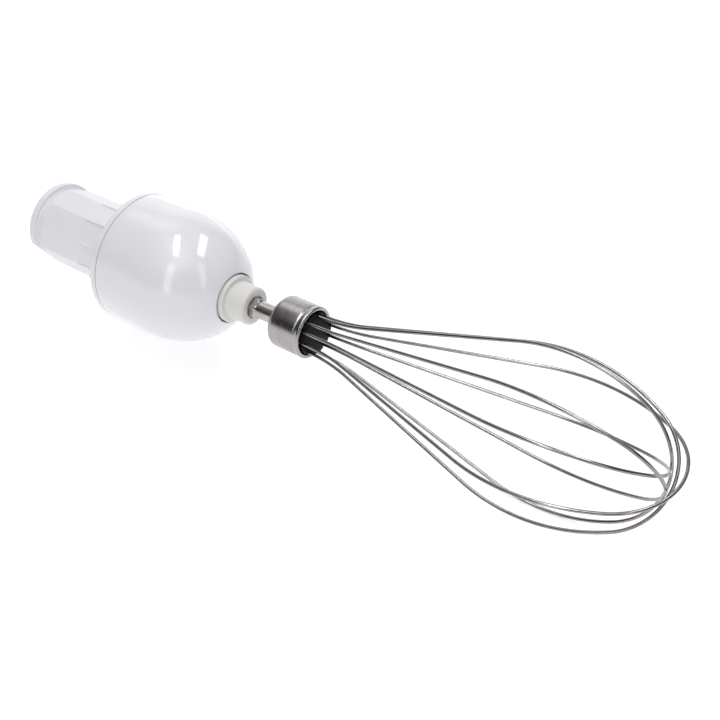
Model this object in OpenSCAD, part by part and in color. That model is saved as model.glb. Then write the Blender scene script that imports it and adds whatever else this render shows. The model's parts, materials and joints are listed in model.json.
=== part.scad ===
// Whisk attachment with a planetary reduction gearbox for a hand blender.
// The axis lies along +X: spigot mouth at the origin, whisk tip towards +X, +Z up.

/* [Spigot] */
// Length of the coupling spigot, from its mouth to the rear cover
spigot_len = 40.6; // [36:0.1:46]
// Corner radius of the ten-sided spigot
spigot_r = 13.9; // [13.6:0.1:14.2]
// Bore radius at the spigot mouth
spigot_bore_r = 10.5; // [10.3:0.1:11]
// Number of flats around the spigot
spigot_flats = 10; // [8:1:12]
// Turn of the spigot's first corner about the axis, from +Y
spigot_turn = 12; // [0:1:36]
// Outer radius of the rim at the mouth
rim_r = 14.5; // [14.2:0.1:14.8]
// Distance of the rim's one flat from the axis
rim_flat = 12.9; // [12.6:0.1:13.2]
// Turn of the rim's flat about the axis, from +Y
rim_turn = 218; // [206:1:226]

/* [Gearbox housing] */
// Outer radius of the dome and the rear cover
dome_r = 23; // [22.8:0.1:23.5]
// Width of the rear cover's band
cover_w = 2.4; // [2:0.1:3]
// Width of the seam between the cover and the dome
seam_w = 0.3; // [0.2:0.05:0.5]
// Length of the dome's cylindrical part
dome_cyl = 15.5; // [14:0.1:17]
// Wall thickness of the dome
dome_wall = 2.2; // [2:0.1:2.4]
// Radius of the round nose of the dome
nose_r = 20; // [19.5:0.1:20.5]
// Distance of the nose centre in front of the cylindrical part
nose_step = 8.2; // [8:0.1:8.5]
// Radius of the hole in the nose
nose_hole_r = 8.7; // [8.5:0.1:8.9]

/* [Gears] */
// Gear module
gear_m = 0.75; // [0.75:0.05:0.75]
// Pressure angle
pressure = 25; // [20:1:25]
// Teeth of the sun gear
sun_z = 12; // [12:1:12]
// Teeth of each planet gear
planet_z = 18; // [18:1:18]
// Number of planet gears
planets = 3; // [3:1:3]
// Thinning of each tooth on the pitch circle, for play
tooth_play = 0.06; // [0.04:0.01:0.12]

/* [Output] */
// Radius of the visible sleeve
sleeve_r = 6.5; // [6.3:0.1:6.8]
// Length of the sleeve in front of its flange
sleeve_len = 7.5; // [6:0.1:10]
// Radius of the sleeve's flange
flange_r = 8.2; // [8:0.1:8.4]
// Running clearance of shafts, bushes and journals, on the radius
run = 0.05; // [0.03:0.01:0.08]

/* [Whisk] */
// Radius of the steel shank
shank_r = 3; // [2.8:0.1:3.2]
// Corner radius of the shank's six-sided drive section
hex_r = 3.75; // [3.6:0.05:3.9]
// Outer radius of the ferrule
ferrule_r = 8.7; // [8.5:0.1:9]
// Length of the ferrule
ferrule_len = 13.3; // [12:0.1:15]
// Radius of the whisk wire
wire_r = 0.55; // [0.5:0.05:0.6]
// Radius on which the ten strands leave the ferrule
strand_r = 6.3; // [6.2:0.05:6.35]
// Radius of the outward bend where a strand leaves the ferrule
flare_bend = 57; // [40:1:80]
// How far each loop reaches past the ferrule's lip
loop_reach = [121.5, 118.5, 122.6, 120.5, 124.4];
// Angle at which each loop's strands spread from the axis
loop_spread = [16, 17.5, 14, 16.5, 17]; // [13:0.5:18]
// Radius of the round end of each loop
loop_end_r = [20, 23.5, 20, 24.5, 22.5]; // [18:0.5:26]
// Turn of each loop about the axis, beside its even place
loop_turn = [-3, -2, -1, -7, -8]; // [-10:1:10]
// Sway of each loop within its own plane, as bent in use
loop_sway = [0.5, -2, 4, 2.5, 0]; // [-5:0.5:5]
// Lean of each loop out of its plane, as bent in use
loop_lean = [-1.5, -5, 1, -2, -1.5]; // [-5:0.5:5]

/* [Hidden] */
$fn = 64;
eps = 0.5;                                  // overshoot of cutting shapes

// Stations along the axis, from the spigot mouth
cover_x = spigot_len;
seam_x = cover_x + cover_w;
dome_x = seam_x + seam_w;
round_x = dome_x + dome_cyl;                // end of the dome's cylinder
nose_x = round_x + nose_step;               // centre of the round nose
hole_x = nose_x + sqrt(pow(nose_r, 2) - pow(nose_hole_r, 2));
flange_x = hole_x + 1.4;                    // front face of the sleeve's flange
sleeve_x = flange_x + sleeve_len;           // front end of the sleeve
ferrule_x = sleeve_x + 11.5;                // back of the ferrule
lip_x = ferrule_x + ferrule_len;            // front of the ferrule's lip

// The dome's side is an arc that meets the cylinder and the nose without a corner
side_drop = (pow(nose_step, 2) + pow(dome_r, 2) - pow(nose_r, 2)) / (2 * (dome_r - nose_r)) - dome_r;
side_r = dome_r + side_drop;
join_x = nose_x + nose_r * nose_step / (side_r - nose_r);

// Gears
ring_z = sun_z + 2 * planet_z;
orbit_r = gear_m * (sun_z + planet_z) / 2;
ring_root_r = gear_m * (ring_z / 2 + 1.25);
ring_tip_r = gear_m * (ring_z / 2 - 0.9);
gear_x = seam_x + 8.2;                      // rear face of the gears
gear_w = 8;
ring_x = gear_x - 0.4;
ring_w = 9.2;
ring_r = dome_r - dome_wall - 0.4;

// Bearings and shafts
shaft_r = 3;                                // input shaft in its bush
sun_shaft_r = 2.5;                          // input shaft in the sun gear
pin_r = 1.5;                                // planet pins
bush_x = spigot_len - 7.6;                  // rear of the input bush
bush_w = 11;
hub_r = 8;                                  // bearing hub in the spigot
plate_r = 15.8;                             // carrier plates
plate_x = gear_x - 3.2;                     // rear face of the carrier plate
plate_w = 3;
front_x = gear_x + gear_w + 0.8;            // rear face of the carrier's front plate
front_w = 3.5;
carrier_hub_r = 10;
carrier_end = round_x + 12.6;               // front face of the carrier's hub
journal_r = 7;
journal_x = carrier_end;
ledge_x = carrier_end + 0.6;                // rear face of the ledge behind the nose bush
socket_x = ledge_x + 2.2;                   // bottom of the sleeve's socket
root_x = front_x + 6;                       // rear end of the sleeve's root
column_r = 2.7;
screw_r = 1.25;

// Whisk
wire_root = 9;                              // straight wire held inside the insert
flare_x = 1.2;                              // start of the flare past the lip
end_angle = 28;                             // where the loop's side becomes its round end
sway_x = lip_x - 3;                         // the loops sway about this point
insert_r = 7.1;
insert_front = lip_x + 1.4;
loops = len(loop_reach);
wire_sides = 8;

// ---- Helpers ----

// Stands a shape that is built along Z on the axis; its X becomes +Y and its Y becomes +Z.
module axial(x = 0) {
    translate([x, 0, 0]) rotate([90, 0, 90]) children();
}

// Round tube from x0 to x1.
module tube(x0, x1, outer, inner) {
    axial(x0) rotate_extrude() translate([inner, 0]) square([outer - inner, x1 - x0]);
}

// Round bar from x0 to x1.
module bar(x0, x1, r) {
    axial(x0) cylinder(h = x1 - x0, r = r);
}

// Bar with n flats and corners at radius r.
module flat_bar(x0, x1, r, n, turn = 0) {
    axial(x0) rotate(turn) cylinder(h = x1 - x0, r = r, $fn = n);
}

// Turned solid; each point is [x, radius].
module turned(points) {
    axial() rotate_extrude() polygon([for (p = points) [p[1], p[0]]]);
}

// Places children at n even angles about the axis.
module around(n, r = 0, turn = 0) {
    for (i = [0 : n - 1]) rotate([turn + 360 * i / n, 0, 0]) translate([0, r, 0]) children();
}

// Involute gear outline, as a list of points.
function roll(r, base) = sqrt(max(0, pow(r / base, 2) - 1));
function involute(r, base) = roll(r, base) * 180 / PI - atan(roll(r, base));
function half_tooth(r, z, play) =
    let (pitch = gear_m * z / 2, base = pitch * cos(pressure))
    90 / z - play / 2 / pitch * 180 / PI + involute(pitch, base) - involute(max(r, base), base);
function polar(r, a) = [r * cos(a), r * sin(a)];
function gear_outline(z, root, tip, play, steps = 4) =
    let (base = gear_m * z / 2 * cos(pressure), low = max(root, base),
         radii = [for (i = [0 : steps]) low + (tip - low) * i / steps],
         flank = concat(root < base ? [root] : [], radii))
    [for (k = [0 : z - 1], side = [-1, 1], j = [0 : len(flank) - 1])
        let (r = flank[side < 0 ? j : len(flank) - 1 - j])
        polar(r, 360 * k / z + side * half_tooth(r, z, play))];

module gear_blank(z, width, turn = 0) {
    pitch = gear_m * z / 2;
    linear_extrude(width) rotate(turn)
        polygon(gear_outline(z, pitch - 1.25 * gear_m, pitch + gear_m, tooth_play));
}

// ---- Gearbox housing ----

module spigot_ribs() {
    around(spigot_flats, 0, spigot_turn)
        translate([spigot_len * 0.58, spigot_r - 0.8, -0.5]) cube([spigot_len * 0.4, 1.1, 1]);
}

// Round rim with one flat, and a narrower neck behind it.
module spigot_rim() {
    neck_r = 13.3;
    difference() {
        turned([[0, 0], [0, rim_r - 0.4], [0.4, rim_r], [2.4, rim_r], [2.7, rim_r - 0.3], [2.7, neck_r],
                [3.6, neck_r], [3.6, 0]]);
        around(1, rim_flat, rim_turn) translate([-eps, 0, -10]) cube([4, 3, 20]);
    }
}

module spigot() {
    color("gainsboro") difference() {
        union() {
            spigot_rim();
            intersection() {
                flat_bar(3.2, spigot_len - 1.5, spigot_r, spigot_flats, spigot_turn);
                turned([[3, 0], [3, 12.8], [7, spigot_r + 0.1], [spigot_len, spigot_r + 0.1],
                        [spigot_len, 0]]);
            }
            spigot_ribs();
            turned([[spigot_len - 1.8, 0], [spigot_len - 1.8, 14.1], [spigot_len - 1.5, 14.4],
                    [seam_x, 14.4], [seam_x, ring_r - 0.1], [seam_x + 2, ring_r - 0.1],
                    [seam_x + 2, 0]]);
            bar(seam_x, plate_x - 0.8, hub_r);
        }
        bar(-eps, 9.5, spigot_bore_r);
        bar(9, bush_x - 1, 10.2);
        tube(bush_x - 2, seam_x - 2, 10.2, hub_r - 0.8);
        bar(bush_x - 2, plate_x, 3.6);
        bar(bush_x, plate_x, 5);
    }
    color("gainsboro") around(6, 0, 30)
        translate([bush_x - 1, hub_r - 1, -0.6]) cube([seam_x - 2 - bush_x + 1.2, 3.5, 1.2]);
}

module rear_cover() {
    color("white") {
        turned([[cover_x, 14.4], [cover_x, dome_r - 0.6], [cover_x + 0.6, dome_r],
                [seam_x, dome_r], [seam_x, 21.4], [seam_x + 3, 21.4],
                [seam_x + 3.2, 21.65], [seam_x + 3.6, 21.65], [seam_x + 4.2, 21.2],
                [seam_x + 4.2, 20.5], [seam_x, 20.5], [seam_x, 14.4]]);
    }
}

module cover_gasket() {
    color("dimgray") tube(seam_x, dome_x, dome_r - 0.25, 21.45);
}

module dome_outside() {
    axial() rotate_extrude() {
        translate([0, dome_x]) square([dome_r, dome_cyl]);
        intersection() {
            translate([-side_drop, round_x]) circle(side_r, $fn = 200);
            translate([0, round_x]) square([dome_r, join_x - round_x]);
        }
        intersection() {
            translate([0, nose_x]) circle(nose_r, $fn = 200);
            translate([0, join_x]) square([dome_r, hole_x - join_x]);
        }
    }
}

// The inside of the dome follows its outside in short straight steps.
module dome_cavity() {
    side = side_r - dome_wall;
    nose = nose_r - dome_wall;
    join = atan2(nose_step, side_drop);
    side_points = [for (k = [0 : 4]) let (a = join * k / 4)
        [side * cos(a) - side_drop, round_x + side * sin(a)]];
    nose_points = [for (k = [1 : 7]) let (a = join + (90 - join) * k / 7)
        [nose * cos(a), nose_x + nose * sin(a)]];
    difference() {
        axial() rotate_extrude() {
            translate([0, dome_x - 1]) square([21.45, 6]);
            translate([0, seam_x + 2.9]) square([21.7, 1]);
            polygon(concat([[0, dome_x - 1], [dome_r - dome_wall, dome_x - 1]], side_points, nose_points));
        }
        bar(ledge_x, hole_x, 11.5);
        around(6, 0, 30) translate([ring_x + ring_w + 0.05, 16.8, -0.8]) cube([8, 6, 1.6]);
        around(6, 0, 30) translate([ledge_x - 1.5, 11, -0.8]) cube([12, 9, 1.6]);
    }
}

module dome_housing() {
    color("white") difference() {
        dome_outside();
        dome_cavity();
        around(planets, 0, 90) translate([dome_x + 4, 20, -1.55]) cube([ring_x + ring_w - dome_x - 4, 1.35, 3.1]);
        bar(ledge_x - eps, hole_x, 7.4);
        bar(ledge_x + 1, hole_x + 1, nose_hole_r);
    }
}

module ring_gear() {
    color("ivory") {
        difference() {
            union() {
                bar(ring_x, ring_x + ring_w, ring_r);
                around(planets, 0, 90) translate([ring_x, ring_r - 1, -1.5]) cube([ring_w, 1.9, 3]);
            }
            axial(ring_x - 1) linear_extrude(ring_w + 2) rotate(180 / ring_z)
                polygon(gear_outline(ring_z, ring_tip_r, ring_root_r, -tooth_play));
        }
        tube(seam_x + 2, ring_x, ring_r, 19.2);
    }
}

module nose_bush() {
    color("darkgoldenrod") tube(ledge_x + 1, ledge_x + 8.4, nose_hole_r, journal_r + run);
}

module nose_seal() {
    x = ledge_x + 8.6;
    color("dimgray") turned([[x, journal_r + run], [x, nose_hole_r], [x + 1.9, nose_hole_r],
        [x + 1.9, nose_hole_r - 0.5], [x + 0.8, nose_hole_r - 0.7], [x + 1.6, journal_r + 0.4],
        [x + 1.6, journal_r + run]]);
}

module input_bush() {
    color("darkgoldenrod") tube(bush_x, bush_x + bush_w, 5, shaft_r + run);
}

module rear_thrust_washer() {
    color("tan") tube(plate_x - 0.75, plate_x - 0.1, 7.6, 5.2);
}

// ---- Input ----

module drive_dog() {
    color("darkslategray") difference() {
        union() {
            turned([[10, 0], [10, 7.2], [10.4, 7.6], [24, 7.6], [25, 6.6], [bush_x - 1.3, 6.6],
                    [bush_x - 1.3, 0]]);
            around(6, 0, 0) translate([14, 6.6, -0.8]) cube([9, 1.5, 1.6]);
        }
        flat_bar(9, 22, 4.7, 6, 12);
        axial(9.99) cylinder(h = 1.2, r1 = 5.6, r2 = 4.4);
        dog_bore();
    }
}

// The bore is D-shaped, and so is the shaft in it.
module dog_bore() {
    difference() {
        bar(21, bush_x, shaft_r);
        translate([21, shaft_r - 0.5, -5]) cube([bush_x - 21, 3, 10]);
    }
}

module input_shaft() {
    step_x = gear_x - 0.3;
    end_x = front_x + 4.6;
    color("silver") difference() {
        turned([[22.2, 0], [22.2, shaft_r - 0.4], [22.6, shaft_r], [step_x, shaft_r],
                [step_x, sun_shaft_r], [gear_x + gear_w + 0.3, sun_shaft_r],
                [gear_x + gear_w + 0.3, 2.1], [gear_x + gear_w + 0.9, 2.1],
                [gear_x + gear_w + 0.9, sun_shaft_r], [end_x - 0.4, sun_shaft_r],
                [end_x, sun_shaft_r - 0.4], [end_x, 0]]);
        translate([20, shaft_r - 0.5, -5]) cube([bush_x - 1.3 - 20, 3, 10]);
        translate([step_x, sun_shaft_r - 0.4, -5]) cube([gear_w + 0.5, 3, 10]);
    }
}

module sun_gear() {
    x = gear_x - 0.3;
    color("silver") difference() {
        axial(x) gear_blank(sun_z, gear_w + 0.4);
        difference() {
            bar(x - 1, x + gear_w + 1, sun_shaft_r);
            translate([x - 2, sun_shaft_r - 0.4, -5]) cube([gear_w + 4, 3, 10]);
        }
    }
}

module shaft_ring() {
    color("black") difference() {
        tube(gear_x + gear_w + 0.35, gear_x + gear_w + 0.85, 4, 2.1);
        translate([gear_x + gear_w, 0, -1.2]) cube([2, 5, 2.4]);
    }
}

// ---- Planets and output ----

module planet_gear(i) {
    turn = 180 / planet_z;
    color("ivory") rotate([360 * i / planets, 0, 0]) translate([0, orbit_r, 0]) difference() {
        union() {
            axial(gear_x) gear_blank(planet_z, gear_w, turn);
            bar(gear_x - 0.15, gear_x + gear_w + 0.7, 2.8);
        }
        bar(gear_x - 1, gear_x + gear_w + 1, pin_r + run);
    }
}

module planet_carrier() {
    color("lightgray") difference() {
        union() {
            bar(front_x, front_x + front_w, plate_r);
            around(planets, orbit_r, 180 / planets) bar(plate_x + plate_w, front_x + 1, column_r);
            turned([[front_x + 1, 0], [front_x + 1, carrier_hub_r], [carrier_end - 0.5, carrier_hub_r],
                    [carrier_end, carrier_hub_r - 0.5], [carrier_end, 0]]);
        }
        around(planets, orbit_r) bar(front_x - 1, front_x + front_w + 1, pin_r);
        around(planets, orbit_r, 180 / planets) bar(plate_x, front_x - 0.5, screw_r);
        bar(front_x - 1, front_x + 0.6, 4.6);
        bar(front_x, root_x - 1, 4);
        flat_bar(root_x, carrier_end + 1, journal_r - 0.05, 6);
        translate([root_x + 2.6, 0, -20]) cylinder(h = 40, r = 1);
    }
}

module carrier_plate() {
    color("lightgray") difference() {
        bar(plate_x, plate_x + plate_w, plate_r);
        bar(plate_x - 1, plate_x + plate_w + 1, 5.9);
        around(planets, orbit_r) bar(plate_x - 1, plate_x + plate_w + 1, pin_r);
        around(planets, orbit_r, 180 / planets) {
            bar(plate_x - 1, plate_x + plate_w + 1, screw_r);
            turned([[plate_x - 1, 0], [plate_x - 1, 2.4], [plate_x + 0.1, 2.4], [plate_x + 1.25, screw_r],
                    [plate_x + 1.25, 0]]);
        }
    }
}

module planet_pins() {
    color("silver") around(planets, orbit_r)
        turned([[plate_x, 0], [plate_x, 1.2], [plate_x + 0.3, pin_r], [front_x + front_w - 0.3, pin_r],
                [front_x + front_w, 1.2], [front_x + front_w, 0]]);
}

module carrier_screws() {
    color("silver") around(planets, orbit_r, 180 / planets) difference() {
        turned([[plate_x, 0], [plate_x, 2.4], [plate_x + 0.1, 2.4], [plate_x + 1.25, screw_r],
                [front_x - 1.6, screw_r], [front_x - 1, 0.6], [front_x - 1, 0]]);
        translate([plate_x - 1, -0.3, -1.5]) cube([1.7, 0.6, 3]);
        translate([plate_x - 1, -1.5, -0.3]) cube([1.7, 3, 0.6]);
    }
}

module pilot_bush() {
    color("darkgoldenrod") tube(front_x + 0.7, root_x - 1, 4, sun_shaft_r + run);
}

module front_thrust_washer() {
    color("tan") tube(carrier_end + 0.05, ledge_x - 0.1, 9.8, journal_r + run);
}

module output_sleeve() {
    color("oldlace") difference() {
        union() {
            flat_bar(root_x, journal_x, journal_r - 0.05, 6);
            turned([[journal_x, 0], [journal_x, journal_r], [hole_x - 2.4, journal_r],
                    [hole_x - 2.4, flange_r], [flange_x - 0.4, flange_r], [flange_x, flange_r - 0.4],
                    [flange_x, 0]]);
            axial() rotate_extrude() {
                translate([0, flange_x - 1]) square([sleeve_r, sleeve_len]);
                translate([0, flange_x]) square([sleeve_r - 1, sleeve_len]);
                translate([sleeve_r - 1, sleeve_x - 1]) circle(1, $fn = 64);
            }
        }
        flat_bar(socket_x, sleeve_x + 1, hex_r + run, 6, 27);
        tube(sleeve_x - 7, sleeve_x - 5.9, 4.7, 0.5);
        translate([root_x + 2.6, 0, -20]) cylinder(h = 40, r = 1);
    }
}

module sleeve_pin() {
    color("silver") translate([root_x + 2.6, 0, -9.7]) cylinder(h = 19.4, r = 1);
}

module shank_ring() {
    x = sleeve_x - 6.95;
    color("silver") difference() {
        tube(x, x + 1, 4.6, hex_r + run);
        translate([x - 1, 0, -0.6]) cube([3, 6, 1.2]);
    }
}

// ---- Whisk ----

module whisk_shank() {
    end_x = ferrule_x + 8;
    hex_end = sleeve_x + 2.6;
    color("silver") {
        intersection() {
            flat_bar(socket_x + 0.3, hex_end, hex_r, 6, 27);
            turned([[socket_x, 0], [socket_x, 2.9], [socket_x + 1.3, hex_r + 0.1],
                    [hex_end - 0.6, hex_r + 0.1], [hex_end, shank_r], [hex_end, 0]]);
        }
        turned([[hex_end - 1, 0], [hex_end - 1, shank_r], [end_x - 0.5, shank_r],
                [end_x, shank_r - 0.5], [end_x, 0]]);
    }
}

module ferrule() {
    round_r = 2.4;
    lip_r = 0.8;
    wall = 0.8;
    color("silver") axial() rotate_extrude() difference() {
        union() {
            translate([0, ferrule_x + round_r]) square([ferrule_r, ferrule_len - round_r - lip_r]);
            translate([0, ferrule_x]) square([ferrule_r - round_r, round_r + 1]);
            translate([ferrule_r - round_r, ferrule_x + round_r]) circle(round_r);
            translate([ferrule_r - lip_r + 0.05, lip_x - lip_r]) circle(lip_r);
        }
        translate([0, ferrule_x - 1]) square([shank_r, ferrule_len + 2]);
        translate([0, ferrule_x + 1.2]) square([ferrule_r - wall, ferrule_len - 1.2 - lip_r]);
        translate([0, lip_x - 1]) square([ferrule_r - 2 * lip_r + 0.05, 2]);
        translate([ferrule_r + 0.3, lip_x - 2.3]) circle(0.6);
    }
}

module strand_bores() {
    for (i = [0 : loops - 1], side = [-1, 1])
        loop_place(i) translate([lip_x - sway_x, side * strand_r, 0]) {
            translate([-wire_root, 0, 0]) rotate([0, 90, 0]) cylinder(h = wire_root + 5, r = wire_r + 0.05);
            translate([-1.4, side > 0 ? 0 : -3, -wire_r - 0.05]) cube([5, 3, 2 * wire_r + 0.1]);
        }
}

module wire_insert() {
    bead_x = lip_x - 1.7;
    color("black") difference() {
        turned([[ferrule_x + 1.2, shank_r], [ferrule_x + 1.2, ferrule_r - 0.8], [bead_x, ferrule_r - 0.8],
                [bead_x, insert_r], [insert_front - 0.3, insert_r], [insert_front, insert_r - 0.3],
                [insert_front, 0], [ferrule_x + 8, 0], [ferrule_x + 8, shank_r]]);
        strand_bores();
    }
}

// Puts a loop, drawn in its own plane about the sway point, in its place.
module loop_place(i) {
    translate([sway_x, 0, 0]) rotate([spigot_turn + 36 + 180 * i / loops + loop_turn[i], 0, 0])
        rotate([0, -loop_lean[i], 0]) rotate([0, 0, loop_sway[i]]) children();
}

// Stations [x, y, heading] along an arc that starts at [x, y] and turns about a centre at radius r.
function arc_stations(x, y, r, from, to, steps) =
    let (turn = to > from ? 1 : -1)
    [for (k = [1 : steps])
        let (h = from + (to - from) * k / steps)
        [x + turn * r * (sin(h) - sin(from)), y + turn * r * (cos(from) - cos(h)), h]];

// Half a loop: root, flare, straight side, side arc and round end, meeting without corners.
// The straight length and the side radius are what closes the outline at the tip.
function half_loop(i) =
    let (spread = loop_spread[i],
         end_r = loop_end_r[i],
         root = lip_x - sway_x - wire_root,
         flare = arc_stations(root + wire_root + flare_x, strand_r, flare_bend, 0, spread, 6),
         x_tip = lip_x - sway_x + loop_reach[i],
         dx = x_tip - flare[5][0] - end_r * (1 - sin(end_angle)),
         dy = end_r * cos(end_angle) - flare[5][1],
         fall = cos(end_angle) - cos(spread),
         rise = sin(spread) + sin(end_angle),
         det = cos(spread) * fall - sin(spread) * rise,
         side = (dx * fall - dy * rise) / det,
         bow = (cos(spread) * dy - sin(spread) * dx) / det,
         x_side = flare[5][0] + side * cos(spread),
         y_side = flare[5][1] + side * sin(spread))
    concat([[root, strand_r, 0], [root + wire_root + flare_x, strand_r, 0]], flare,
           [for (k = [1 : 3]) [flare[5][0] + side * cos(spread) * k / 3,
                               flare[5][1] + side * sin(spread) * k / 3, spread]],
           arc_stations(x_side, y_side, bow, spread, -end_angle, 14),
           arc_stations(x_tip - end_r * (1 - sin(end_angle)), end_r * cos(end_angle), end_r,
                        -end_angle, -90, 11));

function mirrored(path) =
    [for (k = [len(path) - 2 : -1 : 0]) [path[k][0], -path[k][1], 180 - path[k][2]]];

module wire_loop(i) {
    half = half_loop(i);
    path = concat(half, mirrored(half));
    last = len(path) - 1;
    points = [for (p = path, k = [0 : wire_sides - 1])
        let (a = 360 * k / wire_sides)
        [p[0] - wire_r * cos(a) * sin(p[2]), p[1] + wire_r * cos(a) * cos(p[2]), wire_r * sin(a)]];
    skin = [for (j = [0 : last - 1], k = [0 : wire_sides - 1])
        let (a = j * wire_sides + k, b = j * wire_sides + (k + 1) % wire_sides)
        [a, b, b + wire_sides, a + wire_sides]];
    ends = [[for (k = [wire_sides - 1 : -1 : 0]) k],
            [for (k = [0 : wire_sides - 1]) last * wire_sides + k]];
    color("silver") loop_place(i) polyhedron(points, concat(skin, ends), convexity = 4);
}

spigot();
rear_cover();
cover_gasket();
dome_housing();
ring_gear();
nose_bush();
nose_seal();
input_bush();
rear_thrust_washer();
drive_dog();
input_shaft();
sun_gear();
shaft_ring();
planet_gear(0);  // planet_gear_1
planet_gear(1);  // planet_gear_2
planet_gear(2);  // planet_gear_3
planet_carrier();
carrier_plate();
planet_pins();
carrier_screws();
pilot_bush();
front_thrust_washer();
output_sleeve();
sleeve_pin();
shank_ring();
whisk_shank();
ferrule();
wire_insert();
wire_loop(0);  // wire_loop_1
wire_loop(1);  // wire_loop_2
wire_loop(2);  // wire_loop_3
wire_loop(3);  // wire_loop_4
wire_loop(4);  // wire_loop_5
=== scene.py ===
import json
import math

import bmesh
import bpy
from mathutils import Matrix, Vector

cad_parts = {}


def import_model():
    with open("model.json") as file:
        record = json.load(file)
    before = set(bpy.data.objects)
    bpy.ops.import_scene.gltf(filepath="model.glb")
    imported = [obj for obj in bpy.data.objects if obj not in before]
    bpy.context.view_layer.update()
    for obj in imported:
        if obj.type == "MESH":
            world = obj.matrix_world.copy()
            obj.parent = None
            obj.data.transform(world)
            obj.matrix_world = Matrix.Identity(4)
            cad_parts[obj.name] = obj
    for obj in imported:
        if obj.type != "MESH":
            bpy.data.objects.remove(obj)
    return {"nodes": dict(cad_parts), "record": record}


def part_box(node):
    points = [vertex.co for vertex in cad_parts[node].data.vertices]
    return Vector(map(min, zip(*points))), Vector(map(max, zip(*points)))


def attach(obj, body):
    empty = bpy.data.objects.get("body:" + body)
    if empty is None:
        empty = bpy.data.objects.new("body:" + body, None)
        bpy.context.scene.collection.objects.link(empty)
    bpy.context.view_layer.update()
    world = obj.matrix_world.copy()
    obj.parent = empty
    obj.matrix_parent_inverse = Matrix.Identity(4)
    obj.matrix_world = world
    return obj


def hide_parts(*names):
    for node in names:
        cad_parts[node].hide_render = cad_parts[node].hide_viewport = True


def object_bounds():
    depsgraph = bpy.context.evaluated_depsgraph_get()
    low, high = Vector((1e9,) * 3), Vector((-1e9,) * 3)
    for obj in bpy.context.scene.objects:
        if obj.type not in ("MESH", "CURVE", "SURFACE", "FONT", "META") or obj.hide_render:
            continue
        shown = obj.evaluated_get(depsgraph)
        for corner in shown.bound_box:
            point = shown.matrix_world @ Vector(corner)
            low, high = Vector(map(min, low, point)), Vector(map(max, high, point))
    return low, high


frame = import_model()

cad_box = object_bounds()
MM = 0.001
record = frame["record"]
body_of = {n: b for b, nodes in record["behaviour"]["bodies"].items() for n in nodes}
slot_of = {s["node"]: s["material_slot"] for s in record["subparts"]}


# ---- Stations and radii in millimetres, read from the frame ----

def low(node):
    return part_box(node)[0] / MM


def high(node):
    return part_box(node)[1] / MM


cover_x = low("rear_cover").x
seam_x = low("cover_gasket").x
dome_x = high("cover_gasket").x
hole_x = high("dome_housing").x
dome_r = high("dome_housing").y
sleeve_x = high("output_sleeve").x
flange_r = high("output_sleeve").y
ferrule_x = low("ferrule").x
lip_x = high("ferrule").x
insert_x = low("wire_insert").x
insert_front = high("wire_insert").x
shank_x = low("whisk_shank").x
shank_end = high("whisk_shank").x
dog_x = low("drive_dog").x
dog_end = high("drive_dog").x

# Shape values that a box can't give, as in the CAD. The rim and its neck are 0.02 mm smaller here, so that
# they stay inside the CAD's.
spigot_r = 13.9
spigot_turn = 12
rim_r = 14.48
rim_flat = 12.9
rim_turn = 218
neck_r = 13.28
collar_r = 14.4
bore_r = 10.5
flats = 10
nose_hole_r = 8.7
nose_r = 20
nose_step = 8.2
dome_wall = 2.2
joint_r = 21.45
round_x = dome_x + 15.5
nose_x = round_x + nose_step
sleeve_r = 6.5
flange_x = hole_x + 1.4
shank_r = 3
hex_r = 3.75
hex_turn = 27
ferrule_r = 8.7
wire_r = 0.55
strand_r = 6.3
hub_r = 8
journal_r = 7


# ---- Mesh helpers, in millimetres ----

def arc(x, r, radius, start, end, steps):
    """Points (x, r) on an arc about (x, r). 0 degrees points along +X and 90 away from the axis."""
    angles = [math.radians(start + (end - start) * k / steps) for k in range(steps + 1)]
    return [(x + radius * math.cos(a), r + radius * math.sin(a)) for a in angles]


def rounded(corners, steps=5):
    """A closed outline in which each corner (x, r, radius) becomes an arc; a corner (x, r) stays."""
    outline = []
    for i, corner in enumerate(corners):
        if len(corner) < 3:
            outline.append(corner)
            continue
        p = Vector(corner[:2])
        a = (Vector(corners[i - 1][:2]) - p).normalized()
        b = (Vector(corners[(i + 1) % len(corners)][:2]) - p).normalized()
        half = a.angle(b) / 2
        centre = p + (a + b).normalized() * corner[2] / math.sin(half)
        first = p + a * corner[2] / math.tan(half) - centre
        last = p + b * corner[2] / math.tan(half) - centre
        start = math.atan2(first.y, first.x)
        sweep = math.atan2(first.x * last.y - first.y * last.x, first.dot(last))
        for k in range(steps + 1):
            t = start + sweep * k / steps
            outline.append((centre.x + corner[2] * math.cos(t), centre.y + corner[2] * math.sin(t)))
    return outline


def lathe(outline, angles=192):
    """A solid turned about the X axis. A radius in the outline may be a function of the angle."""
    if isinstance(angles, int):
        angles = [360 * k / angles for k in range(angles)]
    bm = bmesh.new()
    rings = []
    for x, r in outline:
        ring = []
        for phi in angles:
            radius = r(phi) if callable(r) else r
            a = math.radians(phi)
            ring.append(bm.verts.new((x, radius * math.cos(a), radius * math.sin(a))))
        rings.append(ring)
    for ring, after in zip(rings, rings[1:] + rings[:1]):
        for k in range(len(angles)):
            j = (k + 1) % len(angles)
            bm.faces.new((ring[k], after[k], after[j], ring[j]))
    bmesh.ops.remove_doubles(bm, verts=bm.verts, dist=1e-5)
    bmesh.ops.recalc_face_normals(bm, faces=bm.faces)
    return bm


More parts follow.
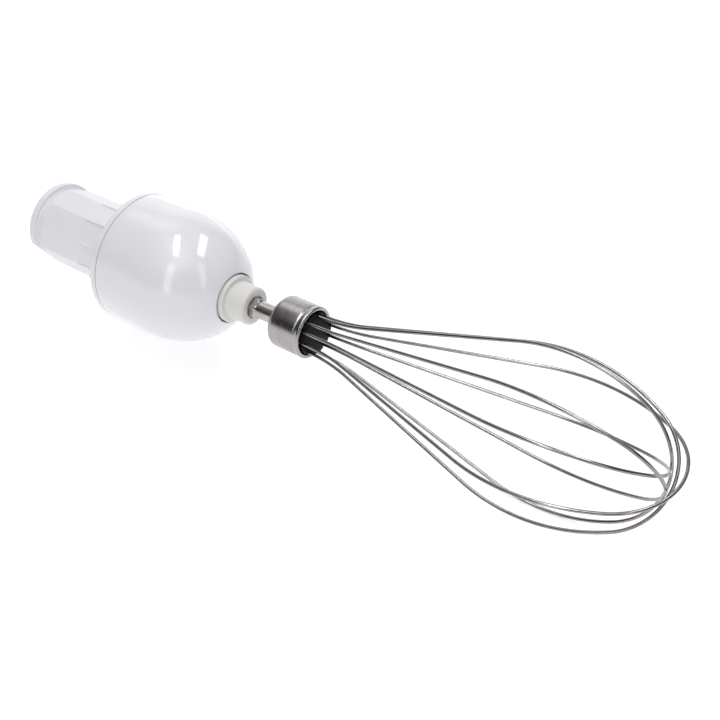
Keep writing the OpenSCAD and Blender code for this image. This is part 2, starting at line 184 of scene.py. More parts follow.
def prism(x0, x1, corner_r, sides, turn, edge):
    """A bar with flats along X and rounded edges."""
    apothem = corner_r * math.cos(math.pi / sides)
    centre = (apothem - edge) / math.cos(math.pi / sides)
    bm = bmesh.new()
    ends = []
    for x in (x0, x1):
        ring = []
        for k in range(sides):
            corner = turn + 360 * k / sides
            for step in range(5):
                a = math.radians(corner + (step / 4 - 0.5) * 360 / sides)
                c = math.radians(corner)
                y = centre * math.cos(c) + edge * math.cos(a)
                z = centre * math.sin(c) + edge * math.sin(a)
                ring.append(bm.verts.new((x, y, z)))
        ends.append(ring)
    bm.faces.new(ends[0])
    bm.faces.new(ends[1])
    for k in range(len(ends[0])):
        j = (k + 1) % len(ends[0])
        bm.faces.new((ends[0][k], ends[0][j], ends[1][j], ends[1][k]))
    bmesh.ops.recalc_face_normals(bm, faces=bm.faces)
    return bm


def block(low_corner, high_corner):
    """A box between two corners."""
    bm = bmesh.new()
    size = Vector(high_corner) - Vector(low_corner)
    middle = (Vector(high_corner) + Vector(low_corner)) / 2
    bmesh.ops.create_cube(bm, size=1, matrix=Matrix.Translation(middle) @ Matrix.Diagonal((*size, 1)))
    return bm


def bar(x0, x1, r, sides=32):
    """A round bar along X."""
    return lathe([(x0, 0), (x0, r), (x1, r), (x1, 0)], sides)


def joined(parts, matrices=None):
    """One bmesh from several, each moved by its matrix."""
    whole = bmesh.new()
    for k, part in enumerate(parts):
        if matrices:
            part.transform(matrices[k])
        mesh = bpy.data.meshes.new("part")
        part.to_mesh(mesh)
        part.free()
        whole.from_mesh(mesh)
        bpy.data.meshes.remove(mesh)
    return whole


def turned_copies(make, count, turn=0):
    """Copies of a shape at even angles about the axis."""
    turns = [Matrix.Rotation(math.radians(turn + 360 * k / count), 4, "X") for k in range(count)]
    return joined([make() for _ in turns], turns)


def carve(solid, tool, operation="DIFFERENCE"):
    """The solid after a boolean operation with the tool."""
    objects = []
    for bm in (solid, tool):
        mesh = bpy.data.meshes.new("carve")
        bm.to_mesh(mesh)
        bm.free()
        obj = bpy.data.objects.new("carve", mesh)
        bpy.context.scene.collection.objects.link(obj)
        objects.append(obj)
    modifier = objects[0].modifiers.new("carve", "BOOLEAN")
    modifier.object = objects[1]
    modifier.operation = operation
    modifier.solver = "EXACT"
    modifier.use_self = True
    result = bpy.data.meshes.new_from_object(
        objects[0].evaluated_get(bpy.context.evaluated_depsgraph_get()))
    bm = bmesh.new()
    bm.from_mesh(result)
    bpy.data.meshes.remove(result)
    for obj in objects:
        mesh = obj.data
        bpy.data.objects.remove(obj)
        bpy.data.meshes.remove(mesh)
    bmesh.ops.remove_doubles(bm, verts=bm.verts, dist=1e-4)
    bmesh.ops.dissolve_degenerate(bm, dist=1e-4, edges=bm.edges)
    return bm


def piece(name, bm, node, finish, sharp=32):
    """A finished piece, from millimetres, that replaces a CAD node and rides on its body."""
    bm.transform(Matrix.Scale(MM, 4))
    bmesh.ops.recalc_face_normals(bm, faces=bm.faces)
    mesh = bpy.data.meshes.new(name)
    bm.to_mesh(mesh)
    bm.free()
    for polygon in mesh.polygons:
        polygon.use_smooth = True
    mesh.set_sharp_from_angle(angle=math.radians(sharp))
    mesh.materials.append(finish)
    obj = bpy.data.objects.new(name, mesh)
    bpy.context.scene.collection.objects.link(obj)
    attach(obj, body_of[node])
    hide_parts(node)
    return obj


# ---- Materials ----

class Finish:
    """A Principled material whose detail is built from noise in the object's own millimetres."""

    def __init__(self, name, roughness, **sockets):
        self.material = bpy.data.materials.new(name)
        self.material.use_nodes = True
        self.tree = self.material.node_tree
        self.shader = self.tree.nodes["Principled BSDF"]
        self.shader.inputs["Roughness"].default_value = roughness
        for key, value in sockets.items():
            self.shader.inputs[key.replace("_", " ")].default_value = value
        self.coordinates = self.tree.nodes.new("ShaderNodeTexCoord").outputs["Object"]

    def link(self, output, node_input):
        self.tree.links.new(output, node_input)

    def noise(self, size, stretch=(1, 1, 1), detail=3, seed=0.0):
        """Noise with features of about size mm, drawn out along the axes by stretch."""
        mapping = self.tree.nodes.new("ShaderNodeMapping")
        mapping.inputs["Location"].default_value = (seed, seed * 0.7, seed * 1.3)
        mapping.inputs["Scale"].default_value = [1 / MM / size / s for s in stretch]
        self.link(self.coordinates, mapping.inputs["Vector"])
        noise = self.tree.nodes.new("ShaderNodeTexNoise")
        noise.inputs["Scale"].default_value = 1
        noise.inputs["Detail"].default_value = detail
        self.link(mapping.outputs["Vector"], noise.inputs["Vector"])
        return noise.outputs["Fac"]

    def between(self, value, start, end, low_value, high_value):
        """Maps value from start..end to low_value..high_value, clamped."""
        node = self.tree.nodes.new("ShaderNodeMapRange")
        node.inputs["From Min"].default_value = start
        node.inputs["From Max"].default_value = end
        node.inputs["To Min"].default_value = low_value
        node.inputs["To Max"].default_value = high_value
        self.link(value, node.inputs["Value"])
        return node.outputs["Result"]

    def plus(self, a, b):
        node = self.tree.nodes.new("ShaderNodeMath")
        node.operation = "ADD"
        self.link(a, node.inputs[0])
        self.link(b, node.inputs[1])
        return node.outputs["Value"]

    def blend(self, factor, colour_a, colour_b):
        """Mixes two colours; each is a tuple or another node's output."""
        node = self.tree.nodes.new("ShaderNodeMix")
        node.data_type = "RGBA"
        self.link(factor, node.inputs["Factor"])
        for socket, colour in ((6, colour_a), (7, colour_b)):
            if isinstance(colour, tuple):
                node.inputs[socket].default_value = (*colour, 1)
            else:
                self.link(colour, node.inputs[socket])
        return node.outputs[2]

    def colour(self, output):
        self.link(output, self.shader.inputs["Base Color"])

    def roughness(self, output):
        self.link(output, self.shader.inputs["Roughness"])

    def bump(self, height, depth):
        """Raises the surface by up to depth mm where height is 1."""
        node = self.tree.nodes.new("ShaderNodeBump")
        node.inputs["Distance"].default_value = depth * MM
        self.link(height, node.inputs["Height"])
        self.link(node.outputs["Normal"], self.shader.inputs["Normal"])


def moulded(name, light, dark, roughness, grain=0.0, wave=0.01, gloss_spread=0.05, **sockets):
    """Moulded plastic: faint shade flow, moulding wave, grain from the mould and fine rub marks."""
    f = Finish(name, roughness, **sockets)
    flow = f.between(f.noise(16, (2.5, 1, 1), 2), 0.3, 0.7, 0, 1)
    speck = f.between(f.noise(0.35, detail=1, seed=4), 0.74, 0.8, 0, 0.5)
    shade = f.blend(flow, light, dark)
    f.colour(f.blend(speck, shade, tuple(c * 0.8 for c in dark)))
    rubs = f.between(f.noise(0.5, (30, 1, 2), 2, seed=9), 0.62, 0.75, 0, gloss_spread)
    patches = f.between(f.noise(7, seed=2), 0.3, 0.7,
                        roughness - gloss_spread / 2, roughness + gloss_spread / 2)
    f.roughness(f.plus(rubs, patches))
    ripple = f.between(f.noise(4, detail=1, seed=6), 0, 1, 0, wave)
    texture = f.between(f.noise(0.25, detail=2, seed=7), 0.2, 0.8, 0, grain)
    f.bump(f.plus(ripple, texture), 1.0)
    return f.material


def steel(name, light, dark, roughness, making, along=40, streak=0.35, streak_depth=0.002, tint=None):
    """Metal with the fine lines of its making: rings across X for turned steel, lines along X for drawn."""
    f = Finish(name, roughness, Metallic=1.0)
    stretch = (1, along, along) if making == "rings" else (along, 1, 1)
    lines = f.noise(0.12, stretch, 4)
    broad = f.noise(2.5, (1, 3, 3), 3, seed=3)
    shade = f.blend(f.between(broad, 0.3, 0.7, 0, 1), light, dark)
    if tint:
        shade = f.blend(f.between(f.noise(5, detail=4, seed=8), 0.45, 0.7, 0, 0.7), shade, tint)
    f.colour(f.blend(f.between(lines, 0.35, 0.75, 0, streak), shade, tuple(c * 0.7 for c in dark)))
    smears = f.between(f.noise(3, detail=3, seed=5), 0.4, 0.7, 0, roughness * 0.4)
    f.roughness(f.plus(f.between(lines, 0.3, 0.7, roughness * 0.8, roughness * 1.3), smears))
    f.bump(lines, streak_depth)
    return f.material


def rubber(name, shade):
    """Soft seal: matt, faintly dusty and pitted."""
    f = Finish(name, 0.75)
    dust = f.between(f.noise(1.5, detail=4), 0.4, 0.75, 0, 0.6)
    f.colour(f.blend(dust, shade, tuple(c * 1.6 for c in shade)))
    f.roughness(f.between(f.noise(0.6, seed=2), 0.3, 0.7, 0.65, 0.85))
    f.bump(f.noise(0.15, detail=2, seed=5), 0.01)
    return f.material


finishes = {
    "gloss_white": moulded("gloss_white", (0.765, 0.765, 0.795), (0.745, 0.745, 0.777), 0.1, wave=0.004,
                           gloss_spread=0.03, Coat_Weight=0.4, Coat_Roughness=0.04,
                           Subsurface_Weight=0.08, Subsurface_Scale=0.002),
    "satin_white": moulded("satin_white", (0.765, 0.765, 0.795), (0.74, 0.74, 0.772), 0.38, grain=0.006,
                           wave=0.006, Subsurface_Weight=0.1, Subsurface_Scale=0.002),
    "sleeve_nylon": moulded("sleeve_nylon", (0.715, 0.705, 0.69), (0.67, 0.66, 0.64), 0.36, grain=0.004,
                            Subsurface_Weight=0.2, Subsurface_Scale=0.002, Subsurface_Radius=(1, 0.9, 0.85)),
    "gear_plastic": moulded("gear_plastic", (0.83, 0.80, 0.70), (0.78, 0.745, 0.64), 0.4, grain=0.004,
                            Subsurface_Weight=0.2, Subsurface_Scale=0.002),
    "washer_plastic": moulded("washer_plastic", (0.48, 0.40, 0.29), (0.42, 0.345, 0.25), 0.5, grain=0.006),
    "dog_plastic": moulded("dog_plastic", (0.035, 0.038, 0.042), (0.025, 0.027, 0.03), 0.42, grain=0.008),
    "insert_plastic": moulded("insert_plastic", (0.008, 0.008, 0.01), (0.004, 0.004, 0.005), 0.45,
                              grain=0.008, Specular_IOR_Level=0.08),
    "gasket_rubber": rubber("gasket_rubber", (0.3, 0.3, 0.31)),
    "bush_bronze": steel("bush_bronze", (0.58, 0.40, 0.22), (0.46, 0.31, 0.17), 0.42, "rings",
                         streak_depth=0.004),
    "shaft_steel": steel("shaft_steel", (0.60, 0.60, 0.61), (0.50, 0.50, 0.51), 0.24, "rings"),
    "spring_steel": steel("spring_steel", (0.06, 0.06, 0.065), (0.035, 0.035, 0.04), 0.4, "rings"),
    "carrier_metal": steel("carrier_metal", (0.62, 0.62, 0.64), (0.52, 0.52, 0.54), 0.48, "rings",
                           streak_depth=0.006),
    "shank_steel": steel("shank_steel", (0.55, 0.53, 0.51), (0.45, 0.42, 0.40), 0.2, "lines",
                         tint=(0.40, 0.33, 0.28)),
    "ferrule_steel": steel("ferrule_steel", (0.42, 0.405, 0.40), (0.35, 0.33, 0.325), 0.2, "rings",
                           streak=0.15, streak_depth=0.0006),
    "whisk_wire": steel("whisk_wire", (0.38, 0.37, 0.37), (0.28, 0.27, 0.27), 0.13, "lines",
                        tint=(0.29, 0.25, 0.23)),
}

for node, obj in frame["nodes"].items():
    obj.data.materials.clear()
    obj.data.materials.append(finishes[slot_of[node]])


# ---- Spigot ----

def ten_sided(phi):
    """Radius of the spigot's ten-sided outline with its softened corners."""
    edge = 0.6
    half = 180 / flats
    off = abs((phi - spigot_turn + half) % (2 * half) - half)
    apothem = spigot_r * math.cos(math.radians(half))
    centre = (apothem - edge) / math.cos(math.radians(half))
    soft = math.degrees(math.atan2(edge * math.sin(math.radians(half)),
                                   centre + edge * math.cos(math.radians(half))))
    a = math.radians(off)
    if off < soft:
        return centre * math.cos(a) + math.sqrt(edge ** 2 - (centre * math.sin(a)) ** 2)
    return apothem / math.cos(math.radians(half - off))


def blended(limit):
    """The ten-sided outline, held inside a round limit with a soft change between the two."""
    def radius(phi):
        soft = 0.12
        a, b = ten_sided(phi), limit
        return (a + b - math.sqrt((a - b) ** 2 + soft ** 2)) / 2
    return radius


def flattened(limit):
    """A round outline with the rim's one flat, softly rounded where they meet."""
    def radius(phi):
        soft = 0.1
        off = abs((phi - rim_turn + 180) % 360 - 180)
        flat = rim_flat / max(0.1, math.cos(math.radians(off)))
        return (limit + flat - math.sqrt((limit - flat) ** 2 + soft ** 2)) / 2
    return radius


def ribbed(phi):
    """The ten-sided outline with a thin rib on every corner."""
    rib_r = 14.2
    half = 180 / flats
    off = abs((phi - spigot_turn + half) % (2 * half) - half)
    share = min(1, max(0, (2.2 - off) / 0.45))
    plain = ten_sided(phi)
    return plain + (rib_r - plain) * share


def spigot():
    """Outer skin from the mouth to the base flange, then back through the bore."""
    half = 180 / flats
    rim_edge, rim_end = 2.5, 2.72
    cone_x, cone_r, cone_slope = 3, 12.8, 0.3
    base_r = 20.3
    base_end = 47.2
    bush_r = 5.0
    wall_x, wall_end = 32, 33
    shaft_hole_r = 3.6
    chamber_r, chamber_end = 7.2, 41
    socket_r = 10.2
    seat_end = 9.4
    web = 0.6
    # Angles from a corner, close together over the softened corner and the flank of the rib
    offsets = [0, 0.35, 0.77, 1.3, 1.75, 1.95, 2.2, 4, 6.5, 9, 12, 15]
    one = sorted(set([-o for o in offsets[1:]] + offsets)) + [half]
    angles = [(spigot_turn + 2 * half * k + o) % 360 for k in range(flats) for o in one]
    flat_end = math.degrees(math.acos(rim_flat / rim_r))
    angles += [(rim_turn + side * (flat_end + o)) % 360
               for side in (-1, 1) for o in (-1.3, -0.5, 0.1, 0.7, 1.5)]
    angles.sort()
    rim = rounded([(0, 12), (0, rim_r, 0.4), (rim_edge, rim_r, 0.35), (rim_end, neck_r, 0.1),
                   (3.3, neck_r)])[1:]
    rim = [(x, flattened(r)) for x, r in rim]
    cone = [(x, blended(cone_r + (x - cone_x) * cone_slope))
            for x in (3.5, 3.9, 4.3, 4.8, 5.4, 6, 6.6, 7.2, 7.8)]
    side = [(x, ten_sided) for x in (9, 14, 19, 23.3)]
    ribs = [(x, ribbed) for x in (23.75, 29, 34, 38.6)]
    collar = rounded([(38.7, 13), (38.75, 14.15, 0.15), (39.1, collar_r, 0.12), (cover_x, collar_r)], 3)[1:]
    base = [(seam_x, collar_r), (seam_x, base_r), (seam_x + 2, base_r), (seam_x + 2, hub_r),
            (base_end, hub_r), (base_end, bush_r)]
    inner = [(wall_end, bush_r), (wall_end, shaft_hole_r), (wall_x, shaft_hole_r), (wall_x, chamber_r),
             (chamber_end, chamber_r), (chamber_end, socket_r), (seat_end + 0.3, socket_r),
             (seat_end + 0.05, socket_r + 0.1), (seat_end, bore_r), (0.5, bore_r), (0.35, bore_r + 0.05),
             (0.05, bore_r + 0.35), (0, bore_r + 0.5)]
    bm = lathe(rim + cone + side + ribs + collar + base + inner, angles)
    webs = turned_copies(lambda: block((wall_x - 0.02, chamber_r - 0.2, -web),
                                       (chamber_end + 0.1, socket_r + 0.2, web)), 6, 30)
    return carve(bm, webs, "UNION")


piece("coupling_spigot", spigot(), "spigot", finishes["satin_white"], 25)


# ---- Rear cover, gasket and dome ----

def cover():
    """Narrow band with a rounded back edge, and a lip with a snap bead that reaches into the dome."""
    lip_r, lip_inner_r = 21.4, 20.5
    bead_r = 21.65
    lip_end = seam_x + 4.2
    return lathe(rounded([
        (cover_x, collar_r), (cover_x, dome_r - 0.5, 0.35), (cover_x + 0.5, dome_r, 0.45),
        (seam_x, dome_r, 0.22), (seam_x, lip_r), (seam_x + 3, lip_r), (seam_x + 3.3, bead_r),
        (lip_end, lip_r - 0.2), (lip_end, lip_inner_r), (seam_x, lip_inner_r), (seam_x, collar_r)]), 256)


def gasket():
    """Thin flat ring that shows as a fine line in the seam."""
    gasket_r = dome_r - 0.26
    return lathe([(seam_x, joint_r), (seam_x, gasket_r), (dome_x, gasket_r), (dome_x, joint_r)], 256)


piece("cover_band", cover(), "rear_cover", finishes["gloss_white"])
piece("seam_gasket", gasket(), "cover_gasket", finishes["gasket_rubber"])


def dome():
    """Cylinder, side arc and round nose in one smooth line, with the wall's inside and the nose hub."""
    side_drop = (nose_step ** 2 + dome_r ** 2 - nose_r ** 2) / (2 * (dome_r - nose_r)) - dome_r
    side_r = dome_r + side_drop
    join = 90 - math.degrees(math.atan2(nose_step, side_drop))
    hole = math.degrees(math.asin(nose_hole_r / nose_r))
    hub = 11.5
    ledge, ledge_r = 73, 7.4
    groove_r = 21.7
    inner_nose = nose_r - dome_wall
    hub_end = math.degrees(math.asin(hub / inner_nose))
    outside = arc(round_x, -side_drop, side_r, 90, join, 40)
    outside += arc(nose_x, 0, nose_r, join, hole + 0.6, 32)[1:]
    mouth = arc(hole_x - 0.25, nose_hole_r + 0.22, 0.22, 40, -90, 4)
    hub_inside = [(ledge + 1, nose_hole_r), (ledge + 1, ledge_r), (ledge, ledge_r), (ledge, hub)]
    inside = arc(nose_x, 0, inner_nose, hub_end, join, 8)
    inside += arc(round_x, -side_drop, side_r - dome_wall, join, 90, 8)[1:]
    inside += [(seam_x + 4.5, dome_r - dome_wall), (seam_x + 4.3, joint_r), (seam_x + 3.9, groove_r),
               (seam_x + 2.9, groove_r), (seam_x + 2.8, joint_r), (dome_x, joint_r)]
    edge = arc(dome_x + 0.25, dome_r - 0.25, 0.25, 180, 90, 4)
    body = [(x, dome_r) for x in (dome_x + 4, dome_x + 8, dome_x + 12)]
    bm = lathe(edge + body + outside + mouth + hub_inside + inside, 256)
    rib, rib_x, rib_end, rib_top = 0.8, 73.5, 78.5, 14.5
    ribs = turned_copies(lambda: block((rib_x, hub - 0.2, -rib), (rib_end, rib_top, rib)), 6, 30)
    return carve(bm, ribs, "UNION")


piece("dome_shell", dome(), "dome_housing", finishes["gloss_white"])


# ---- Drive dog ----

def dog():
    """Cup with a six-sided socket and a funnel at its mouth, and six splines outside."""
    cup_r, waist_r = 7.6, 6.6
    shaft_hole_r = 3.3
    cup_floor_x = 21.9
    step_x = 24
    spline_x, spline_end = 14, 23
    socket_corner_r = 4.7
    spline = 0.8
    funnel_x = dog_x + 1.2
    solid = lathe(rounded([
        (dog_x, 0), (dog_x, cup_r, 0.5), (step_x, cup_r, 0.2), (step_x + 1, waist_r, 0.2), (dog_end, waist_r),
        (dog_end, shaft_hole_r), (cup_floor_x, shaft_hole_r), (cup_floor_x, 0)], 4), 128)
    splines = turned_copies(lambda: block((spline_x, waist_r, -spline), (spline_end, cup_r + 0.5, spline)), 6)
    solid = carve(solid, splines, "UNION")
    lead_in = lathe([(dog_x - 0.5, 0), (dog_x - 0.5, 5.75), (funnel_x, 4.3), (funnel_x, 0)], 96)
    solid = carve(solid, prism(dog_x - 1, cup_floor_x - 0.1, socket_corner_r, 6, 12, 0.25))
    return carve(solid, lead_in)


piece("drive_socket", dog(), "drive_dog", finishes["dog_plastic"])


# ---- Output sleeve ----

def sleeve():
    """Flange, tube and six-sided root, with the socket, the pin hole and the ring's groove cut in."""
    root_x = low("output_sleeve").x
    journal_x = 71.4
    socket_x = 74.2
    flange_back = hole_x - 2.4
    ring_x, ring_end, ring_r = sleeve_x - 7, sleeve_x - 5.9, 4.7
    pin_r = 1.02
    turned = lathe(rounded([
        (journal_x, 0), (journal_x, journal_r), (flange_back, journal_r), (flange_back, flange_r, 0.2),
        (flange_x, flange_r, 0.45), (flange_x, sleeve_r, 0.3), (sleeve_x, sleeve_r, 1.0), (sleeve_x, 0)],
        7), 160)
    solid = carve(turned, prism(root_x, journal_x + 0.2, journal_r - 0.05, 6, 0, 0.2), "UNION")
    solid = carve(solid, prism(socket_x, sleeve_x + 1, hex_r + 0.05, 6, hex_turn, 0.15))
    mouth = lathe([(sleeve_x - 0.45, 0), (sleeve_x - 0.45, hex_r - 0.1), (sleeve_x + 0.3, hex_r + 0.55),
                   (sleeve_x + 0.3, 0)], 96)
    solid = carve(solid, mouth)
    solid = carve(solid, lathe([(ring_x, 2), (ring_x, ring_r), (ring_end, ring_r), (ring_end, 2)], 64))
    pin = bar(-12, 12, pin_r)
    pin.transform(Matrix.Translation((root_x + 2.6, 0, 0)) @ Matrix.Rotation(math.radians(90), 4, "Y"))
    return carve(solid, pin)


piece("nylon_sleeve", sleeve(), "output_sleeve", finishes["sleeve_nylon"])


# ---- Whisk shank, ferrule and insert ----

def shank():
    """Six-sided drive section with rounded ends, running into the round rod."""
    hex_end = sleeve_x + 2.6

    def six_sided(limit):
        def radius(phi):
            off = abs((phi - hex_turn + 30) % 60 - 30)
            flat = hex_r * math.cos(math.radians(30)) / math.cos(math.radians(30 - off))
            a, b = flat, limit
            return (a + b - math.sqrt((a - b) ** 2 + 0.05 ** 2)) / 2
        return radius

    offsets = (-24, -18, -12, -7, -3, 0, 3, 7, 12, 18, 24, 30)
    angles = sorted((hex_turn + 60 * k + o) % 360 for k in range(6) for o in offsets)
    tip = [(shank_x, 0), (shank_x, six_sided(2.7)), (shank_x + 0.12, six_sided(3.0)),
           (shank_x + 0.5, six_sided(3.3)), (shank_x + 1.0, six_sided(3.72))]
    drive = [(x, six_sided(3.71)) for x in (shank_x + 1.5, 80, 86, 92, hex_end - 0.7)]
    shoulder = [(hex_end - 0.4, six_sided(3.6)), (hex_end - 0.15, six_sided(3.3)), (hex_end, six_sided(3.06))]
    rod = [(hex_end + 0.05, shank_r), (100, shank_r), (105, shank_r), (shank_end - 0.5, shank_r),
           (shank_end, shank_r - 0.5), (shank_end, 0)]
    return lathe(tip + drive + shoulder + rod, angles)


piece("steel_shank", shank(), "whisk_shank", finishes["shank_steel"], 28)


def ferrule():
    """Drawn cup: rounded back, straight side, a groove behind the rolled lip."""
    shoulder = 2.4
    lip = 0.8
    wall = 0.8
    outline = [(ferrule_x, shank_r + 0.02), (ferrule_x, ferrule_r - shoulder)]
    outline += arc(ferrule_x + shoulder, ferrule_r - shoulder, shoulder, 180, 90, 16)
    outline += [(ferrule_x + 5, ferrule_r), (ferrule_x + 8, ferrule_r), (lip_x - 2.9, ferrule_r)]
    outline += [(lip_x - 2.6, ferrule_r - 0.04), (lip_x - 2.35, ferrule_r - 0.14),
                (lip_x - 2.1, ferrule_r - 0.2), (lip_x - 1.85, ferrule_r - 0.2),
                (lip_x - 1.6, ferrule_r - 0.13)]
    outline += arc(lip_x - lip, ferrule_r - lip + 0.05, lip, 108, -90, 18)
    outline += [(lip_x - lip - 0.1, ferrule_r - 2 * lip + 0.05), (lip_x - lip - 0.1, ferrule_r - wall + 0.01),
                (ferrule_x + 1.2, ferrule_r - wall + 0.01), (ferrule_x + 1.2, shank_r + 0.02)]
    return lathe(outline, 192)


piece("steel_ferrule", ferrule(), "ferrule", finishes["ferrule_steel"])


# ---- Wire loops ----

# One value for each loop: how far its tip is past the lip, the spread of its straight sides in degrees,
# the radius of its round end, and its own turn, sway and lean in degrees
loop_reach = [121.5, 118.5, 122.6, 120.5, 124.4]
loop_spread = [16, 17.5, 14, 16.5, 17]
loop_end_r = [20, 23.5, 20, 24.5, 22.5]
loop_turn = [-3, -2, -1, -7, -8]
loop_sway = [0.5, -2, 4, 2.5, 0]
loop_lean = [-1.5, -5, 1, -2, -1.5]
loops = len(loop_reach)
first_loop_turn = spigot_turn + 36
wire_root = 9
flare_x = 1.2
flare_bend = 57
end_angle = 28
sway_x = lip_x - 3


def loop_place(i):
    """Where a loop goes that is drawn in its own plane about the sway point."""
    turn = first_loop_turn + 180 * i / loops + loop_turn[i]
    return (Matrix.Translation((sway_x, 0, 0)) @ Matrix.Rotation(math.radians(turn), 4, "X")
            @ Matrix.Rotation(math.radians(-loop_lean[i]), 4, "Y")
            @ Matrix.Rotation(math.radians(loop_sway[i]), 4, "Z"))


def arc_stations(x, y, r, start, end, steps):
    """Stations (x, y, heading) along an arc that begins at (x, y)."""
    side = 1 if end > start else -1
    found = []
    for k in range(1, steps + 1):
        h = start + (end - start) * k / steps
        found.append((x + side * r * (math.sin(math.radians(h)) - math.sin(math.radians(start))),
                      y + side * r * (math.cos(math.radians(start)) - math.cos(math.radians(h))), h))
    return found


def half_loop(i):
    """Root, flare, straight side, side arc and round end of half a loop, without corners."""
    spread, end_r = loop_spread[i], loop_end_r[i]
    s, c = math.sin(math.radians(spread)), math.cos(math.radians(spread))
    se, ce = math.sin(math.radians(end_angle)), math.cos(math.radians(end_angle))
    root = lip_x - sway_x - wire_root
    flare = arc_stations(root + wire_root + flare_x, strand_r, flare_bend, 0, spread, 12)
    fx, fy, _ = flare[-1]
    x_tip = lip_x - sway_x + loop_reach[i]
    dx = x_tip - fx - end_r * (1 - se)
    dy = end_r * ce - fy
    fall, rise = ce - c, s + se
    det = c * fall - s * rise
    side = (dx * fall - dy * rise) / det
    bow = (c * dy - s * dx) / det
    straight = [(fx + side * c * k / 6, fy + side * s * k / 6, spread) for k in range(1, 7)]
    start = [(x, strand_r, 0) for x in (root, root + wire_root / 2, root + wire_root + flare_x)]
    return (start + flare + straight
            + arc_stations(fx + side * c, fy + side * s, bow, spread, -end_angle, 44)
            + arc_stations(x_tip - end_r * (1 - se), end_r * ce, end_r, -end_angle, -90, 40))


def wire(i):
    """Round wire along a whole loop, with a small chamfer at each cut end."""
    sides = 20
    half = half_loop(i)
    path = half + [(x, -y, 180 - h) for x, y, h in reversed(half[:-1])]
    chamfer = 0.12
    x0, y0, h0 = path[0]
    x1, y1, h1 = path[-1]
    stations = [(x0, y0, h0, wire_r - chamfer), (x0 + chamfer, y0, h0, wire_r)]
    stations += [(x, y, h, wire_r) for x, y, h in path[1:-1]]
    stations += [(x1 + chamfer, y1, h1, wire_r), (x1, y1, h1, wire_r - chamfer)]
    bm = bmesh.new()
    rings = []
    for x, y, h, r in stations:
        s, c = math.sin(math.radians(h)), math.cos(math.radians(h))
        ring = []
        for k in range(sides):
            a = 2 * math.pi * k / sides
            ring.append(bm.verts.new((x - r * math.cos(a) * s, y + r * math.cos(a) * c, r * math.sin(a))))
        rings.append(ring)
    for ring, after in zip(rings, rings[1:]):
        for k in range(sides):
            j = (k + 1) % sides
            bm.faces.new((ring[k], ring[j], after[j], after[k]))
    bm.faces.new(rings[0])
    bm.faces.new(rings[-1])
    bm.transform(loop_place(i))
    return bm


for i in range(loops):
    piece("whisk_wire_%d" % (i + 1), wire(i), "wire_loop_%d" % (i + 1), finishes["whisk_wire"], 50)


def strand_tool(side):
    """The bore of a strand and the slot that opens it at the rim, about the strand's exit."""
    past_front, past_rim = 5, 3
    slot_depth = 1.4
    hole_r = wire_r + 0.05
    hole = bar(-wire_root - 0.3, past_front, hole_r)
    outward = (0, past_rim) if side > 0 else (-past_rim, 0)
    slot = block((-slot_depth, outward[0], -hole_r), (past_front, outward[1], hole_r))
    return carve(hole, slot, "UNION")


def insert():
    """Black plug that holds the wires, with a bore for each strand that is open at the rim."""
    bead_x = lip_x - 1.7
    plug_r, front_r = ferrule_r - 0.82, 7.1
    shank_hole_r = shank_r + 0.02
    solid = lathe(rounded([
        (insert_x, shank_hole_r), (insert_x, plug_r), (bead_x, plug_r), (bead_x, front_r),
        (insert_front, front_r, 0.35), (insert_front, 0), (shank_end, 0), (shank_end, shank_hole_r)]), 160)
    sides = [(i, side) for i in range(loops) for side in (-1, 1)]
    places = [loop_place(i) @ Matrix.Translation((lip_x - sway_x, side * strand_r, 0)) for i, side in sides]
    return carve(solid, joined([strand_tool(side) for _, side in sides], places))


piece("wire_plug", insert(), "wire_insert", finishes["insert_plastic"])


# ---- Floor, lights and camera ----

def stage_material(name, colour, glow):
    """Matt material with a little light of its own, so that the floor renders pale."""
    material = bpy.data.materials.new(name)
    material.use_nodes = True
    shader = material.node_tree.nodes["Principled BSDF"]
    shader.inputs["Base Color"].default_value = (*colour, 1)
    shader.inputs["Roughness"].default_value = 0.6
    shader.inputs["Emission Color"].default_value = (1, 1, 1, 1)
    shader.inputs["Emission Strength"].default_value = glow
    return material


def floor():
    """A large plain floor just under the object's lowest point."""
    size = 4
    z = cad_box[0].z - 0.05 * MM
    mesh = bpy.data.meshes.new("floor")
    corners = [(x, y, z) for x, y in ((-size, -size), (size, -size), (size, size), (-size, size))]
    mesh.from_pydata(corners, [], [(0, 1, 2, 3)])
    mesh.materials.append(stage_material("pale_floor", (0.6, 0.6, 0.6), 0.58))
    obj = bpy.data.objects.new("floor", mesh)
    bpy.context.scene.collection.objects.link(obj)


def strip(name, direction, along, length, width, radiance):
    """A long soft light seen from the dome in that direction; length and width are for 1 m away."""
    distance = 1.3
    target = Vector((0.07, 0, 0))
    way = Vector(direction).normalized()
    data = bpy.data.lights.new(name, "AREA")
    data.shape = "RECTANGLE"
    data.size = length * distance
    data.size_y = width * distance
    data.energy = radiance * math.pi * data.size * data.size_y
    obj = bpy.data.objects.new(name, data)
    x_axis = (Vector(along) - Vector(along).dot(way) * way).normalized()
    y_axis = way.cross(x_axis)
    obj.matrix_world = Matrix.Translation(target + way * distance) @ Matrix(
        (x_axis, y_axis, way)).transposed().to_4x4()
    bpy.context.scene.collection.objects.link(obj)


def toward(azimuth, elevation):
    """The direction with that azimuth and elevation in degrees."""
    a, e = math.radians(azimuth), math.radians(elevation)
    return Vector((math.cos(e) * math.cos(a), math.cos(e) * math.sin(a), math.sin(e)))


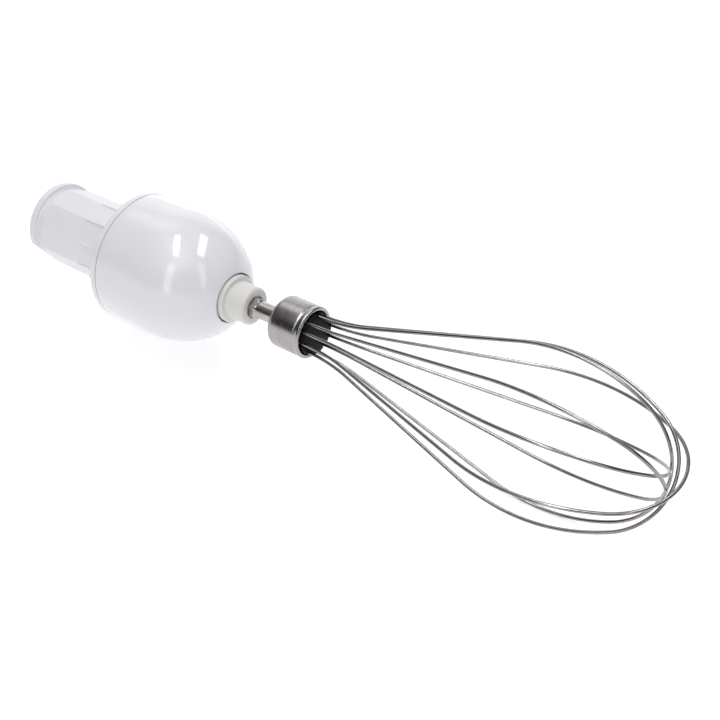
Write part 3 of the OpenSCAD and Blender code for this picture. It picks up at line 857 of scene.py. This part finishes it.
def world(front, back, ceiling, left, spot, backdrop, dark, horizon):
    """Room light: bright behind and above the object, dim in front and darkest at the front left."""
    scene_world = bpy.data.worlds.new("studio")
    bpy.context.scene.world = scene_world
    scene_world.use_nodes = True
    tree = scene_world.node_tree
    background = tree.nodes["Background"]
    coordinates = tree.nodes.new("ShaderNodeTexCoord")

    def lobe(direction, start, end, low_value, high_value):
        facing = tree.nodes.new("ShaderNodeVectorMath")
        facing.operation = "DOT_PRODUCT"
        facing.inputs[1].default_value = direction
        tree.links.new(coordinates.outputs["Generated"], facing.inputs[0])
        shade = tree.nodes.new("ShaderNodeMapRange")
        shade.interpolation_type = "SMOOTHSTEP"
        limits = {"From Min": start, "From Max": end, "To Min": low_value, "To Max": high_value}
        for key, value in limits.items():
            shade.inputs[key].default_value = value
        tree.links.new(facing.outputs["Value"], shade.inputs["Value"])
        return shade.outputs["Result"]

    def combined(operation, a, b):
        node = tree.nodes.new("ShaderNodeMath")
        node.operation = operation
        tree.links.new(a, node.inputs[0])
        tree.links.new(b, node.inputs[1])
        return node.outputs["Value"]

    sky = lobe(toward(150, 45), -0.3, 0.75, front, back)
    for direction, start, end, strength in (
            (toward(180, 70), 0.6, 0.9, ceiling), (toward(-95, 62), 0.82, 0.95, left),
            (toward(154, 54), 0.965, 0.985, spot), (toward(128, 8), 0.8, 0.95, backdrop)):
        sky = combined("ADD", sky, lobe(direction, start, end, 0, strength))
    sky = combined("MULTIPLY", sky, lobe(toward(-135, 28), 0.62, 0.9, 1, dark))
    sky = combined("ADD", sky, lobe(Vector((0, 0, 1)), 0, 0.17, horizon, 0))
    tree.links.new(sky, background.inputs["Strength"])
    background.inputs["Color"].default_value = (0.97, 0.975, 1.0, 1)


def camera():
    """A 60 mm lens at the viewing distance fitted to the object, in millimetres."""
    place = Vector((318.118, -239.243, 217.610))
    data = bpy.data.cameras.new("camera")
    data.lens = 60
    data.sensor_width = 36
    data.clip_start = 0.01
    obj = bpy.data.objects.new("camera", data)
    right = Vector((0.79699, 0.60399, 0))
    up = Vector((-0.35706, 0.47115, 0.80655))
    obj.matrix_world = Matrix.Translation(place * MM) @ Matrix(
        (right, up, right.cross(up))).transposed().to_4x4()
    bpy.context.scene.collection.objects.link(obj)
    bpy.context.scene.camera = obj


floor()
strip("ceiling_left", (-0.05, -0.14, 0.99), (-0.32, 0.60, 0.07), length=0.66, width=0.115, radiance=8.0)
strip("ceiling_right", (0.23, 0.34, 0.91), (-0.42, 0.61, -0.12), length=0.72, width=0.14, radiance=7.5)
strip("wall_left", (0.16, -0.87, 0.46), (-0.03, 0.43, 0.82), length=0.9, width=0.16, radiance=2.3)
strip("wall_right", (0.74, -0.34, 0.59), (-0.38, 0.38, 0.71), length=0.86, width=0.19, radiance=1.6)
world(front=0.08, back=0.34, ceiling=0.35, left=1.3, spot=0.7, backdrop=0.9, dark=0.2, horizon=0.75)
camera()
bpy.context.scene.view_settings.view_transform = "Standard"
